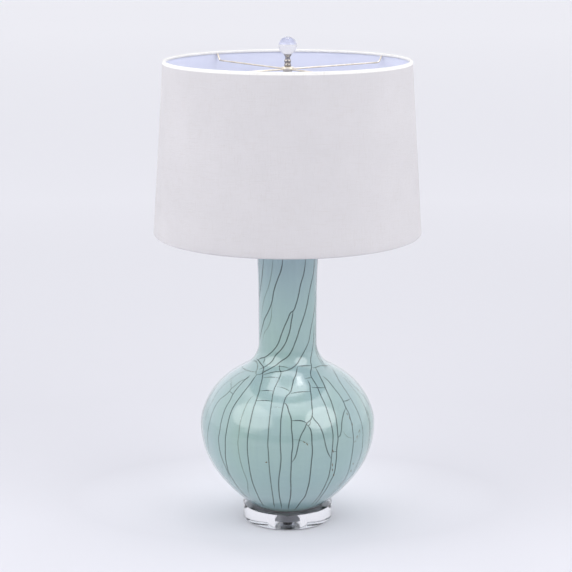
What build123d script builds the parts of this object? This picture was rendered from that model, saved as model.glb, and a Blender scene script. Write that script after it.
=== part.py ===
from build123d import *
from math import cos, radians, sin
import os

# Table lamp: a crackle-glazed porcelain globe vase with a long neck, on a clear acrylic disc,
# with a turn-knob socket and a harp that carries a tapered linen drum shade and a crystal finial.
# Millimetres, +Z up. The origin is on the table under the lamp's axis, and -Y is the front.

# Gaps, all on the radius.
slide_gap = 0.08
slip_gap = 0.15
loose_gap = 0.3

# Clear pads stuck under the disc.
pad_radius = 5.0
pad_height = 2.0
pad_rounding = 1.2
pad_circle_radius = 66.0
pad_count = 5
pad_first_angle = -87.0

# Acrylic disc, with the pocket for the pipe's nut and the channel for the cord.
disc_radius = 76.2
disc_thickness = 25.4
disc_edge_radius = 0.8
pocket_radius = 17.0
pocket_depth = 13.0
channel_width = 9.6
channel_height = 10.4

# Bushing where the cord leaves the disc.
bushing_length = 12.0
bushing_bore_radius = 3.4
bushing_flange_radius = 6.2
bushing_flange_thickness = 2.0
bushing_rounding = 0.7

# Lamp pipe that clamps the lamp together, and what tightens it from below.
pipe_radius = 5.1
pipe_bore_radius = 3.8
pipe_tail = 1.5
base_washer_radius = 14.0
base_washer_thickness = 1.5
lock_washer_radius = 8.2
lock_washer_thickness = 1.4
lock_washer_slit = 1.2
nut_across_flats = 14.3
base_nut_thickness = 4.8
nut_chamfer = 0.6

# Ring of soft gasket between the disc and the foot.
gasket_thickness = 1.6
gasket_inset = 1.5

# Vase, with heights measured from its foot.
vase_height = 463.0
vase_wall = 5.0
foot_radius = 63.4
foot_ring_width = 10.0
foot_recess = 5.0
vase_floor = 13.0
belly_radius = 147.9
belly_height = 140.2
under_belly_radius = 140.0
under_belly_turn = 35.4
over_belly_radius = 70.0
over_belly_turn = 17.0
shoulder_radius = 90.4
shoulder_height = 229.5
throat_radius = 47.0
neck_radius = 49.0
neck_height = 350.4
neck_seam_height = 262.0
mouth_radius = 53.6
lip_rounding = 2.4

# Fittings that close the mouth.
plug_clearance = 1.6
plug_depth = 12.0
plug_thickness = 1.2
vase_cap_inset = 1.4
vase_cap_rise = 7.0
vase_cap_edge = 1.6
vase_cap_thickness = 1.2
vase_cap_hub_radius = 10.0
vase_cap_sagitta = 1.8
spacer_height = 8.4
spacer_end_radius = 9.0
spacer_waist_radius = 6.9
cap_nut_thickness = 4.0

# Harp: saddle, wire loop, locking sleeves and top stud.
saddle_thickness = 1.6
saddle_width = 13.0
saddle_half_span = 30.0
saddle_upright = 10.0
saddle_bend_radius = 3.0
post_length = 11.0
harp_wire_radius = 2.1
harp_height = 254.0
harp_leg_length = 34.0
harp_half_width = 57.0
harp_widening_height = 42.0
harp_shoulder_drop = 72.0
harp_top_half_width = 24.0
harp_leg_bend = 26.0
harp_side_bend = 40.0
harp_top_bend = 30.0
harp_eye_radius = 7.0
sleeve_length = 16.0
sleeve_radius = 4.2
sleeve_grip_radius = 4.8
sleeve_grip_height = 3.0
stud_radius = 3.15
stud_length = 17.0
stud_seat_radius = 7.6
stud_seat_thickness = 2.4
stud_head_radius = 5.0
stud_head_thickness = 2.2
stud_chamfer = 0.8

# Socket, with heights measured from the top of the saddle.
socket_boss_radius = 8.2
socket_boss_height = 8.0
socket_cap_radius = 17.5
socket_cap_flare = 5.5
socket_cap_height = 20.5
socket_wall = 0.6
set_screw_radius = 1.5
set_screw_length = 4.2
set_screw_height = 4.0
shell_overlap = 5.5
shell_height = 57.0
shell_bead = 0.7
shell_bead_height = 50.0
liner_wall = 0.8
switch_body_height = 31.0
terminal_height = 19.0
terminal_depth = 3.2
terminal_head_radius = 3.0
terminal_head_thickness = 1.8
terminal_pocket_side = 9.0
terminal_shank_radius = 1.5
terminal_shank_length = 4.0
thread_shell_radius = 13.75
thread_shell_wall = 0.4
thread_shell_height = 23.0
contact_radius = 4.0
contact_thickness = 0.8
contact_rise = 2.2
contact_heel = 1.0

# Turn knob of the switch.
shaft_radius = 2.0
shaft_height = 24.5
shaft_depth = 7.0
knob_radius = 6.4
knob_tip_radius = 5.4
knob_length = 13.0
knob_standoff = 5.0
knob_flute_radius = 1.0
knob_flute_depth = 0.7
knob_flute_length = 8.7
knob_flutes = 12

# Bulb, with heights measured from its centre contact.
bulb_length = 110.0
bulb_radius = 30.0
bulb_contact_radius = 4.6
bulb_contact_height = 1.6
bulb_insulator_height = 3.6
bulb_base_radius = 13.0
bulb_base_height = 21.5
bulb_neck_radius = 12.6
bulb_cheek_radius = 60.0
bulb_cheek_turn = 25.0
bulb_glass_overlap = 2.0
bulb_glass_wall = 0.9

# Shade: linen on a stiff liner, rolled over a wire ring at each edge.
shade_bottom_radius = 222.25
shade_top_radius = 203.2
shade_height = 285.75
fabric_thickness = 0.8
liner_thickness = 0.8
glue_line = 0.1
hem_radius = 2.6
ring_wire_radius = 1.7
ring_wire_side_count = 12

# Spider that hangs the shade on the harp.
spider_drop = 16.75
arm_count = 4
arm_first_angle = 37.0
arm_wire_radius = 1.4
arm_riser_run = 7.0
arm_bend_radius = 6.0
hub_radius = 10.8
hub_bore_radius = 5.5
hub_thickness = 5.0
hub_rounding = 1.6

# Finial.
finial_stem_height = 20.9
finial_foot_radius = 4.6
finial_bead_radius = 5.6
finial_bead_height = 6.2
finial_waist_radius = 4.1
finial_waist_height = 3.6
finial_cup_radius = 6.4
finial_cup_lip = 1.2
finial_bore_depth = 13.0
ball_radius = 15.0

# Heights above the table, worked out from the stack of pieces on the pipe.
disc_bottom = pad_height
disc_top = disc_bottom + disc_thickness
pocket_ceiling = disc_bottom + pocket_depth
foot_z = disc_top + gasket_thickness
mouth_z = foot_z + vase_height
spacer_z = mouth_z + vase_cap_rise
cap_nut_z = spacer_z + spacer_height
saddle_z = cap_nut_z + cap_nut_thickness
socket_z = saddle_z + saddle_thickness
shade_seat_z = socket_z + harp_height
shade_top_z = shade_seat_z + spider_drop
shade_bottom_z = shade_top_z - shade_height
finial_z = shade_seat_z + hub_thickness
pipe_hole_radius = pipe_radius + slip_gap


# Clear bumper pads, a low dome with a flat face each.
with BuildPart() as bumper_feet:
    with BuildSketch(Plane.XY):
        with PolarLocations(pad_circle_radius, pad_count, start_angle=pad_first_angle):
            Circle(pad_radius)
    extrude(amount=pad_height)
    fillet(bumper_feet.edges().group_by(Axis.Z)[0], radius=pad_rounding)
bumper_feet.part.label = "bumper_feet"
export_step(bumper_feet.part, "parts/bumper_feet.step")


# Acrylic disc: polished all round, with a blind pocket and a round-topped channel in its underside.
channel_axis_z = disc_bottom + channel_height - channel_width / 2
with BuildPart() as acrylic_base:
    with BuildSketch(Plane.XY.offset(disc_bottom)):
        Circle(disc_radius)
    extrude(amount=disc_thickness)
    fillet(acrylic_base.edges(), radius=disc_edge_radius)
    with BuildSketch(Plane.XY.offset(disc_bottom)):
        Circle(pipe_hole_radius)
    extrude(amount=disc_thickness, mode=Mode.SUBTRACT)
    with BuildSketch(Plane.XY.offset(disc_bottom)):
        Circle(pocket_radius)
    extrude(amount=pocket_depth, mode=Mode.SUBTRACT)
    with BuildSketch(Plane.XZ):
        with Locations((0, channel_axis_z)):
            Circle(channel_width / 2)
            Rectangle(channel_width, channel_height, align=(Align.CENTER, Align.MAX))
    extrude(amount=-disc_radius, mode=Mode.SUBTRACT)
acrylic_base.part.label = "acrylic_base"
export_step(acrylic_base.part, "parts/acrylic_base.step")


# Nylon bushing pressed into the back end of the channel.
with BuildPart() as cord_bushing:
    with BuildSketch(Plane.XZ.offset(-disc_radius + bushing_length)):
        with Locations((0, channel_axis_z)):
            Circle(channel_width / 2 - slip_gap)
    extrude(amount=-bushing_length)
    with BuildSketch(Plane.XZ.offset(-disc_radius)):
        with Locations((0, channel_axis_z)):
            Circle(bushing_flange_radius)
    extrude(amount=-bushing_flange_thickness)
    fillet(cord_bushing.edges().group_by(Axis.Y)[-1], radius=bushing_rounding)
    with BuildSketch(Plane.XZ.offset(-disc_radius + bushing_length)):
        with Locations((0, channel_axis_z)):
            Circle(bushing_bore_radius)
    extrude(amount=-bushing_length - bushing_flange_thickness, mode=Mode.SUBTRACT)
cord_bushing.part.label = "cord_bushing"
export_step(cord_bushing.part, "parts/cord_bushing.step")


# Flat steel washer against the pocket's ceiling.
base_washer_z = pocket_ceiling - base_washer_thickness
with BuildPart() as base_washer:
    with BuildSketch(Plane.XY.offset(base_washer_z)):
        Circle(base_washer_radius)
        Circle(pipe_hole_radius, mode=Mode.SUBTRACT)
    extrude(amount=base_washer_thickness)
base_washer.part.label = "base_washer"
export_step(base_washer.part, "parts/base_washer.step")


# Split lock washer under it.
lock_washer_z = base_washer_z - lock_washer_thickness
with BuildPart() as base_lock_washer:
    with BuildSketch(Plane.XY.offset(lock_washer_z)):
        Circle(lock_washer_radius)
        Circle(pipe_hole_radius, mode=Mode.SUBTRACT)
        Rectangle(
            lock_washer_radius, lock_washer_slit, align=(Align.MIN, Align.CENTER), mode=Mode.SUBTRACT
        )
    extrude(amount=lock_washer_thickness)
base_lock_washer.part.label = "base_lock_washer"
export_step(base_lock_washer.part, "parts/base_lock_washer.step")


# Hex nut on the pipe's lower end.
base_nut_z = lock_washer_z - base_nut_thickness
with BuildPart() as base_hex_nut:
    with BuildSketch(Plane.XY.offset(base_nut_z)):
        RegularPolygon(nut_across_flats / 2, 6, major_radius=False)
        Circle(pipe_hole_radius, mode=Mode.SUBTRACT)
    extrude(amount=base_nut_thickness)
    chamfer(base_hex_nut.edges().group_by(Axis.Z)[0].filter_by(GeomType.LINE), length=nut_chamfer)
base_hex_nut.part.label = "base_hex_nut"
export_step(base_hex_nut.part, "parts/base_hex_nut.step")


# Gasket ring under the foot.
with BuildPart() as foot_gasket:
    with BuildSketch(Plane.XY.offset(disc_top)):
        Circle(foot_radius - gasket_inset)
        Circle(foot_radius - foot_ring_width + gasket_inset, mode=Mode.SUBTRACT)
    extrude(amount=gasket_thickness)
foot_gasket.part.label = "foot_gasket"
export_step(foot_gasket.part, "parts/foot_gasket.step")


# Half section of the vase, solid and drawn on past the mouth. From the widest circle two arcs run
# down to the foot and two run up to the shoulder, whose tangent is carried on to the neck's line,
# and the throat rounds that corner.
belly = (belly_radius, foot_z + belly_height)
with BuildSketch(Plane.XZ) as vase_section:
    with BuildLine():
        under = JernArc(belly, (0, -1), under_belly_radius, -under_belly_turn)
        toe = TangentArc(under @ 1, (foot_radius, foot_z), tangent=under % 1)
        over = JernArc(belly, (0, 1), over_belly_radius, over_belly_turn)
        shoulder = TangentArc(
            over @ 1, (shoulder_radius, foot_z + shoulder_height), tangent=over % 1
        )
        slope = shoulder % 1
        corner_z = foot_z + shoulder_height + (neck_radius - shoulder_radius) * slope.Y / slope.X
        slant = Line(shoulder @ 1, (neck_radius, corner_z))
        neck = Line(slant @ 1, (neck_radius, foot_z + neck_height))
        flare = TangentArc(neck @ 1, (mouth_radius, mouth_z), tangent=(0, 1))
        past_mouth = Line(flare @ 1, flare @ 1 + (flare % 1) * 2 * vase_wall)
        Polyline(past_mouth @ 1, (0, (past_mouth @ 1).Y), (0, foot_z), toe @ 1)
    make_face()
    throat_corner = vase_section.vertices().sort_by_distance((neck_radius, corner_z))[0]
    fillet(throat_corner, radius=throat_radius)


# Hollow of the vase: the same section drawn in by an even wall, above a thicker floor.
with BuildSketch(Plane.XZ) as hollow_section:
    add(vase_section.sketch)
    mirror(about=Plane.YZ)
    offset(amount=-vase_wall)
    with Locations((0, foot_z)):
        Rectangle(
            2 * belly_radius, vase_floor, align=(Align.CENTER, Align.MIN), mode=Mode.SUBTRACT
        )
        Rectangle(
            2 * belly_radius, 2 * vase_height, align=(Align.MAX, Align.MIN), mode=Mode.SUBTRACT
        )


# Globe of the vase. A bottle vase this large is thrown in two parts, luted together where the throat
# meets the neck, and glazed as one. The globe has a foot ring and a hole for the pipe.
seam_plane = Plane.XY.offset(foot_z + neck_seam_height)
with BuildPart() as ceramic_vase:
    add(vase_section.sketch)
    revolve(axis=Axis.Z)
    split(bisect_by=seam_plane, keep=Keep.BOTTOM)
    add(hollow_section.sketch)
    revolve(axis=Axis.Z, mode=Mode.SUBTRACT)
    with BuildSketch(Plane.XY.offset(foot_z)):
        Circle(foot_radius - foot_ring_width)
    extrude(amount=foot_recess, mode=Mode.SUBTRACT)
    with BuildSketch(Plane.XY.offset(foot_z)):
        Circle(pipe_hole_radius)
    extrude(amount=vase_floor + vase_wall, mode=Mode.SUBTRACT)
ceramic_vase.part.label = "ceramic_vase"
export_step(ceramic_vase.part, "parts/ceramic_vase.step")


# Neck of the vase, which stands on the globe's throat and ends in a rounded lip.
with BuildPart() as ceramic_neck:
    add(vase_section.sketch)
    revolve(axis=Axis.Z)
    split(bisect_by=Plane.XY.offset(mouth_z), keep=Keep.BOTTOM)
    split(bisect_by=seam_plane, keep=Keep.TOP)
    add(hollow_section.sketch)
    revolve(axis=Axis.Z, mode=Mode.SUBTRACT)
    fillet(ceramic_neck.edges().group_by(Axis.Z)[-1], radius=lip_rounding)
ceramic_neck.part.label = "ceramic_neck"
export_step(ceramic_neck.part, "parts/ceramic_neck.step")


# Steel lamp pipe from below the base nut to inside the socket cap.
pipe_bottom_z = base_nut_z - pipe_tail
with BuildPart() as lamp_pipe:
    with BuildSketch(Plane.XY.offset(pipe_bottom_z)):
        Circle(pipe_radius)
        Circle(pipe_bore_radius, mode=Mode.SUBTRACT)
    extrude(amount=socket_z + socket_boss_height - pipe_bottom_z)
lamp_pipe.part.label = "lamp_pipe"
export_step(lamp_pipe.part, "parts/lamp_pipe.step")


# Pressed ring that centres the cap in the mouth.
plug_radius = mouth_radius - vase_wall - plug_clearance
with BuildPart() as neck_centering_ring:
    with BuildSketch(Plane.XY.offset(mouth_z - plug_depth)):
        Circle(plug_radius)
    extrude(amount=plug_depth)
    fillet(neck_centering_ring.edges().group_by(Axis.Z)[-1], radius=2 * plug_thickness)
    underside = neck_centering_ring.faces().sort_by(Axis.Z)[0]
    offset(amount=-plug_thickness, openings=underside)
    with BuildSketch(Plane.XY.offset(mouth_z)):
        Circle(pipe_hole_radius)
    extrude(amount=-plug_depth, mode=Mode.SUBTRACT)
neck_centering_ring.part.label = "neck_centering_ring"
export_step(neck_centering_ring.part, "parts/neck_centering_ring.step")


# Spun cap over the mouth: a flat hub, a gently crowned skirt and a plain edge on the lip.
vase_cap_radius = mouth_radius - vase_cap_inset
with BuildPart() as vase_cap:
    with BuildSketch(Plane.XZ) as cap_section:
        with BuildLine():
            skirt = SagittaArc(
                (vase_cap_radius, mouth_z + vase_cap_edge),
                (vase_cap_hub_radius, spacer_z),
                -vase_cap_sagitta,
            )
            hub = Polyline(
                skirt @ 1,
                (pipe_hole_radius, spacer_z),
                (pipe_hole_radius, spacer_z - vase_cap_thickness),
                (vase_cap_hub_radius, spacer_z - vase_cap_thickness),
            )
            under_skirt = SagittaArc(
                hub @ 1,
                (vase_cap_radius - vase_cap_thickness, mouth_z + vase_cap_edge - vase_cap_thickness),
                vase_cap_sagitta,
            )
            Polyline(
                under_skirt @ 1,
                (vase_cap_radius - vase_cap_thickness, mouth_z),
                (vase_cap_radius, mouth_z),
                skirt @ 0,
            )
        make_face()
    revolve(axis=Axis.Z)
vase_cap.part.label = "vase_cap"
export_step(vase_cap.part, "parts/vase_cap.step")


# Turned spool between the cap and the nut.
with BuildPart() as neck_spacer:
    with BuildSketch(Plane.XZ) as spool_section:
        with BuildLine():
            waist = ThreePointArc(
                (spacer_end_radius, spacer_z),
                (spacer_waist_radius, spacer_z + spacer_height / 2),
                (spacer_end_radius, cap_nut_z),
            )
            Polyline(
                waist @ 1, (pipe_hole_radius, cap_nut_z), (pipe_hole_radius, spacer_z), waist @ 0
            )
        make_face()
    revolve(axis=Axis.Z)
neck_spacer.part.label = "neck_spacer"
export_step(neck_spacer.part, "parts/neck_spacer.step")


# Hex nut that clamps the cap down on the vase.
with BuildPart() as cap_lock_nut:
    with BuildSketch(Plane.XY.offset(cap_nut_z)):
        RegularPolygon(nut_across_flats / 2, 6, major_radius=False)
        Circle(pipe_hole_radius, mode=Mode.SUBTRACT)
    extrude(amount=cap_nut_thickness)
    chamfer(cap_lock_nut.edges().group_by(Axis.Z)[-1].filter_by(GeomType.LINE), length=nut_chamfer)
cap_lock_nut.part.label = "cap_lock_nut"
export_step(cap_lock_nut.part, "parts/cap_lock_nut.step")


# Harp saddle: a strip bent up at both ends, each end topped by a round post.
saddle_outer = saddle_half_span + saddle_thickness / 2
upright_top_z = saddle_z + saddle_thickness + saddle_upright
post_top_z = upright_top_z + post_length
with BuildPart() as harp_saddle:
    with BuildSketch(Plane.YZ) as strip:
        with Locations((0, saddle_z)):
            Rectangle(
                2 * saddle_outer, upright_top_z - saddle_z, align=(Align.CENTER, Align.MIN)
            )
        fillet(strip.vertices().group_by(Axis.Z)[0], radius=saddle_bend_radius + saddle_thickness)
        offset(amount=-saddle_thickness, mode=Mode.SUBTRACT)
        with Locations((0, upright_top_z)):
            Rectangle(
                2 * (saddle_outer - saddle_thickness),
                2 * saddle_thickness,
                mode=Mode.SUBTRACT,
            )
    extrude(amount=saddle_width / 2, both=True)
    fillet(harp_saddle.edges().filter_by(Axis.Y).group_by(Axis.Z)[-1], radius=saddle_thickness)
    with BuildSketch(Plane.XY.offset(upright_top_z - harp_wire_radius)):
        with Locations((0, saddle_half_span), (0, -saddle_half_span)):
            Circle(harp_wire_radius)
    extrude(amount=post_length + harp_wire_radius)
    with BuildSketch(Plane.XY.offset(saddle_z)):
        Circle(pipe_hole_radius)
    extrude(amount=saddle_thickness, mode=Mode.SUBTRACT)
harp_saddle.part.label = "harp_saddle"
export_step(harp_saddle.part, "parts/harp_saddle.step")


# Socket cap: a boss on the pipe that flares to a cup, with a radial hole for its set screw.
boss_top_z = socket_z + socket_boss_height
cap_rim_z = socket_z + socket_cap_height
cup_radius = socket_cap_radius - socket_wall
with BuildPart() as socket_cap:
    with BuildSketch(Plane.XZ) as cup_section:
        with BuildLine():
            Polyline(
                (pipe_hole_radius, socket_z),
                (socket_boss_radius, socket_z),
                (socket_boss_radius, boss_top_z - socket_wall),
                (socket_cap_radius, boss_top_z - socket_wall + socket_cap_flare),
                (socket_cap_radius, cap_rim_z),
                (cup_radius, cap_rim_z),
                (cup_radius, boss_top_z + socket_cap_flare),
                (socket_boss_radius, boss_top_z),
                (pipe_hole_radius, boss_top_z),
                close=True,
            )
        make_face()
    revolve(axis=Axis.Z)
    with BuildSketch(Plane.YZ):
        with Locations((0, socket_z + set_screw_height)):
            Circle(set_screw_radius + slide_gap)
    extrude(amount=socket_boss_radius, mode=Mode.SUBTRACT)
socket_cap.part.label = "socket_cap"
export_step(socket_cap.part, "parts/socket_cap.step")


# Set screw that bites the pipe.
with BuildPart() as socket_set_screw:
    with BuildSketch(Plane.YZ.offset(pipe_radius)):
        with Locations((0, socket_z + set_screw_height)):
            Circle(set_screw_radius)
    extrude(amount=set_screw_length)
    with BuildSketch(Plane.YZ.offset(pipe_radius + set_screw_length)):
        with Locations((0, socket_z + set_screw_height)):
            Rectangle(2 * set_screw_radius, set_screw_radius / 2)
    extrude(amount=-set_screw_radius / 2, mode=Mode.SUBTRACT)
socket_set_screw.part.label = "socket_set_screw"
export_step(socket_set_screw.part, "parts/socket_set_screw.step")


# Outer shell of the socket, with a rolled bead, a drawn-in mouth and a hole for the switch shaft.
shell_radius = cup_radius - slip_gap
shell_bottom_z = cap_rim_z - shell_overlap
shell_top_z = socket_z + shell_height
bead_z = socket_z + shell_bead_height
shaft_z = socket_z + shaft_height
with BuildPart() as socket_shell:
    with BuildSketch(Plane.XZ) as shell_section:
        with Locations((shell_radius - socket_wall, shell_bottom_z)):
            Rectangle(socket_wall, shell_top_z - shell_bottom_z, align=(Align.MIN, Align.MIN))
        with Locations((shell_radius, bead_z)):
            Circle(shell_bead)
        with Locations((shell_radius - socket_wall, bead_z)):
            Rectangle(2 * shell_bead, 4 * shell_bead, align=(Align.MAX, Align.CENTER), mode=Mode.SUBTRACT)
    revolve(axis=Axis.Z)
    with BuildSketch(Plane.YZ):
        with Locations((0, shaft_z)):
            Circle(shaft_radius + loose_gap)
    extrude(amount=shell_radius, mode=Mode.SUBTRACT)
socket_shell.part.label = "socket_shell"
export_step(socket_shell.part, "parts/socket_shell.step")


# Paper liner inside the shell.
liner_outer_radius = shell_radius - socket_wall - slip_gap
liner_bore_radius = liner_outer_radius - liner_wall
with BuildPart() as socket_liner:
    with BuildSketch(Plane.XY.offset(shell_bottom_z)):
        Circle(liner_outer_radius)
        Circle(liner_bore_radius, mode=Mode.SUBTRACT)
    extrude(amount=shell_top_z - shell_bottom_z)
    with BuildSketch(Plane.YZ):
        with Locations((0, shaft_z)):
            Circle(shaft_radius + loose_gap)
    extrude(amount=liner_outer_radius, mode=Mode.SUBTRACT)
socket_liner.part.label = "socket_liner"
export_step(socket_liner.part, "parts/socket_liner.step")


# Moulded switch body, with a bearing hole for the shaft and a pocket on each side for a terminal.
body_radius = liner_bore_radius - slip_gap
body_seat = (body_radius - socket_boss_radius) / (cup_radius - socket_boss_radius)
body_bottom_z = boss_top_z + socket_cap_flare * body_seat + slip_gap
body_top_z = socket_z + switch_body_height
terminal_z = socket_z + terminal_height
terminal_face = body_radius - terminal_depth
with BuildPart() as switch_body:
    with BuildSketch(Plane.XY.offset(body_bottom_z)):
        Circle(body_radius)
    extrude(amount=body_top_z - body_bottom_z)
    with BuildSketch(Plane.XZ.offset(terminal_face)):
        with Locations((0, terminal_z)):
            Rectangle(terminal_pocket_side, terminal_pocket_side)
    extrude(amount=terminal_depth, mode=Mode.SUBTRACT)
    with BuildSketch(Plane.XZ.offset(-terminal_face)):
        with Locations((0, terminal_z)):
            Rectangle(terminal_pocket_side, terminal_pocket_side)
    extrude(amount=-terminal_depth, mode=Mode.SUBTRACT)
    with BuildSketch(Plane.XZ):
        with Locations((0, terminal_z)):
            Circle(terminal_shank_radius + slide_gap)
    extrude(amount=body_radius, both=True, mode=Mode.SUBTRACT)
    with BuildSketch(Plane.YZ.offset(body_radius - shaft_depth)):
        with Locations((0, shaft_z)):
            Circle(shaft_radius + slide_gap)
    extrude(amount=shaft_depth, mode=Mode.SUBTRACT)
switch_body.part.label = "switch_body"
export_step(switch_body.part, "parts/switch_body.step")


# Terminal screws, a headed and slotted screw on each side.
with BuildPart() as terminal_screw:
    with BuildSketch(Plane.XZ.offset(terminal_face)):
        with Locations((0, terminal_z)):
            Circle(terminal_head_radius)
    extrude(amount=terminal_head_thickness)
    with BuildSketch(Plane.XZ.offset(terminal_face + terminal_head_thickness)):
        with Locations((0, terminal_z)):
            Rectangle(2 * terminal_head_radius, terminal_head_thickness / 2)
    extrude(amount=-terminal_head_thickness / 2, mode=Mode.SUBTRACT)
    with BuildSketch(Plane.XZ.offset(terminal_face)):
        with Locations((0, terminal_z)):
            Circle(terminal_shank_radius)
    extrude(amount=-terminal_shank_length)
with BuildPart() as terminal_screws:
    with PolarLocations(0, 2):
        add(terminal_screw.part)
terminal_screws.part.label = "terminal_screws"
export_step(terminal_screws.part, "parts/terminal_screws.step")


# Threaded shell that takes the bulb, with an inward flange on the switch body.
with BuildPart() as thread_shell:
    with BuildSketch(Plane.XY.offset(body_top_z)):
        Circle(thread_shell_radius)
    extrude(amount=thread_shell_height)
    with BuildSketch(Plane.XY.offset(body_top_z + thread_shell_wall)):
        Circle(thread_shell_radius - thread_shell_wall)
    extrude(amount=thread_shell_height, mode=Mode.SUBTRACT)
    with BuildSketch(Plane.XY.offset(body_top_z)):
        Circle(contact_radius + contact_rise)
    extrude(amount=thread_shell_wall, mode=Mode.SUBTRACT)
thread_shell.part.label = "thread_shell"
export_step(thread_shell.part, "parts/thread_shell.step")


# Centre contact: a spring tongue bent up from a riveted tail.
with BuildPart() as centre_contact:
    with BuildSketch(Plane.YZ) as tongue:
        with BuildLine():
            Polyline(
                (-contact_radius, body_top_z),
                (contact_radius / 2, body_top_z),
                (contact_radius, body_top_z + contact_rise / 2),
                (0, body_top_z + contact_rise),
                (-contact_radius / 2, body_top_z + contact_rise),
                (-contact_radius / 2, body_top_z + contact_rise - contact_thickness),
                (0, body_top_z + contact_rise - contact_thickness),
                (contact_radius / 2, body_top_z + contact_rise / 2),
                (contact_heel, body_top_z + contact_thickness),
                (-contact_radius, body_top_z + contact_thickness),
                close=True,
            )
        make_face()
    extrude(amount=contact_radius / 2, both=True)
centre_contact.part.label = "centre_contact"
export_step(centre_contact.part, "parts/centre_contact.step")


# Switch shaft, turned by the knob.
knob_x = socket_cap_radius + knob_standoff
with BuildPart() as switch_shaft:
    with BuildSketch(Plane.YZ.offset(body_radius - shaft_depth + loose_gap)):
        with Locations((0, shaft_z)):
            Circle(shaft_radius)
    extrude(amount=knob_x - body_radius + shaft_depth - loose_gap)
switch_shaft.part.label = "switch_shaft"
export_step(switch_shaft.part, "parts/switch_shaft.step")


# Moulded knob, tapered and fluted.
with BuildPart() as switch_knob:
    with BuildSketch(Plane.YZ.offset(knob_x)):
        with Locations((0, shaft_z)):
            Circle(knob_radius)
    with BuildSketch(Plane.YZ.offset(knob_x + knob_length)):
        with Locations((0, shaft_z)):
            Circle(knob_tip_radius)
    loft()
    fillet(switch_knob.edges().group_by(Axis.X)[-1], radius=knob_flute_radius)
    with BuildSketch(Plane.YZ.offset(knob_x)):
        with Locations((0, shaft_z)):
            with PolarLocations(knob_radius + knob_flute_radius - knob_flute_depth, knob_flutes):
                Circle(knob_flute_radius)
    extrude(amount=knob_flute_length, mode=Mode.SUBTRACT)
switch_knob.part.label = "switch_knob"
export_step(switch_knob.part, "parts/switch_knob.step")


# Bulb: contact button, insulator, threaded base and pear-shaped glass.
bulb_z = body_top_z + contact_rise + loose_gap
insulator_z = bulb_z + bulb_contact_height
bulb_base_z = insulator_z + bulb_insulator_height
bulb_base_top_z = bulb_base_z + bulb_base_height
with BuildPart() as bulb_contact:
    with BuildSketch(Plane.XY.offset(bulb_z)):
        Circle(bulb_contact_radius)
    extrude(amount=bulb_contact_height)
    fillet(bulb_contact.edges().group_by(Axis.Z)[0], radius=bulb_contact_height / 2)
bulb_contact.part.label = "bulb_contact"
export_step(bulb_contact.part, "parts/bulb_contact.step")

with BuildPart() as bulb_insulator:
    with BuildSketch(Plane.XY.offset(insulator_z)):
        Circle(bulb_contact_radius + bulb_contact_height)
    with BuildSketch(Plane.XY.offset(bulb_base_z)):
        Circle(bulb_base_radius - bulb_contact_height)
    loft()
bulb_insulator.part.label = "bulb_insulator"
export_step(bulb_insulator.part, "parts/bulb_insulator.step")

with BuildPart() as bulb_base:
    with BuildSketch(Plane.XY.offset(bulb_base_z)):
        Circle(bulb_base_radius)
    extrude(amount=bulb_base_height)
    chamfer(bulb_base.edges().group_by(Axis.Z)[0], length=bulb_contact_height)
    with BuildSketch(Plane.XY.offset(bulb_base_top_z)):
        Circle(bulb_neck_radius)
    extrude(amount=-bulb_glass_overlap, mode=Mode.SUBTRACT)
bulb_base.part.label = "bulb_base"
export_step(bulb_base.part, "parts/bulb_base.step")

bulb_top_z = bulb_z + bulb_length
glass_bottom_z = bulb_base_top_z - bulb_glass_overlap
crown_z = bulb_top_z - bulb_radius
cheek_turn = radians(bulb_cheek_turn)
with BuildPart() as bulb_glass:
    with BuildSketch(Plane.XZ):
        with BuildLine():
            stem = Line(
                (bulb_neck_radius - slide_gap, glass_bottom_z),
                (bulb_neck_radius - slide_gap, bulb_base_top_z),
            )
            crown = CenterArc((0, crown_z), bulb_radius, 90, -90)
            cheek = RadiusArc(
                crown @ 1,
                (
                    bulb_radius - bulb_cheek_radius * (1 - cos(cheek_turn)),
                    crown_z - bulb_cheek_radius * sin(cheek_turn),
                ),
                bulb_cheek_radius,
            )
            TangentArc(cheek @ 1, stem @ 1, tangent=cheek % 1)
            Polyline(stem @ 0, (0, glass_bottom_z), (0, bulb_top_z))
        make_face()
    revolve(axis=Axis.Z)
    neck_face = bulb_glass.faces().sort_by(Axis.Z)[0]
    offset(amount=-bulb_glass_wall, openings=neck_face)
bulb_glass.part.label = "bulb_glass"
export_step(bulb_glass.part, "parts/bulb_glass.step")


# Harp: one bent wire from post to post, with a flattened eye at the top for the stud.
eye_top_z = shade_seat_z - stud_seat_thickness
eye_thickness = 2 * harp_wire_radius
wire_top_z = eye_top_z - harp_wire_radius
with BuildPart() as harp:
    with BuildLine(Plane.YZ) as harp_path:
        half_loop = FilletPolyline(
            (saddle_half_span, post_top_z),
            (saddle_half_span, post_top_z + harp_leg_length),
            (harp_half_width, post_top_z + harp_leg_length + harp_widening_height),
            (harp_half_width, wire_top_z - harp_shoulder_drop),
            (harp_top_half_width, wire_top_z),
            (0, wire_top_z),
            radius=(harp_leg_bend, harp_side_bend, harp_side_bend, harp_top_bend),
        )
        mirror(about=Plane.XZ)
    with BuildSketch(Plane.XY.offset(post_top_z)):
        with Locations((0, saddle_half_span)):
            Circle(harp_wire_radius)
    sweep(path=harp_path.line)
    with BuildSketch(Plane.XY.offset(eye_top_z)):
        Circle(harp_eye_radius)
    extrude(amount=-eye_thickness)
    with BuildSketch(Plane.XY.offset(eye_top_z)):
        Circle(stud_radius + slide_gap)
    extrude(amount=-eye_thickness, mode=Mode.SUBTRACT)
harp.part.label = "harp"
export_step(harp.part, "parts/harp.step")


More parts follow.
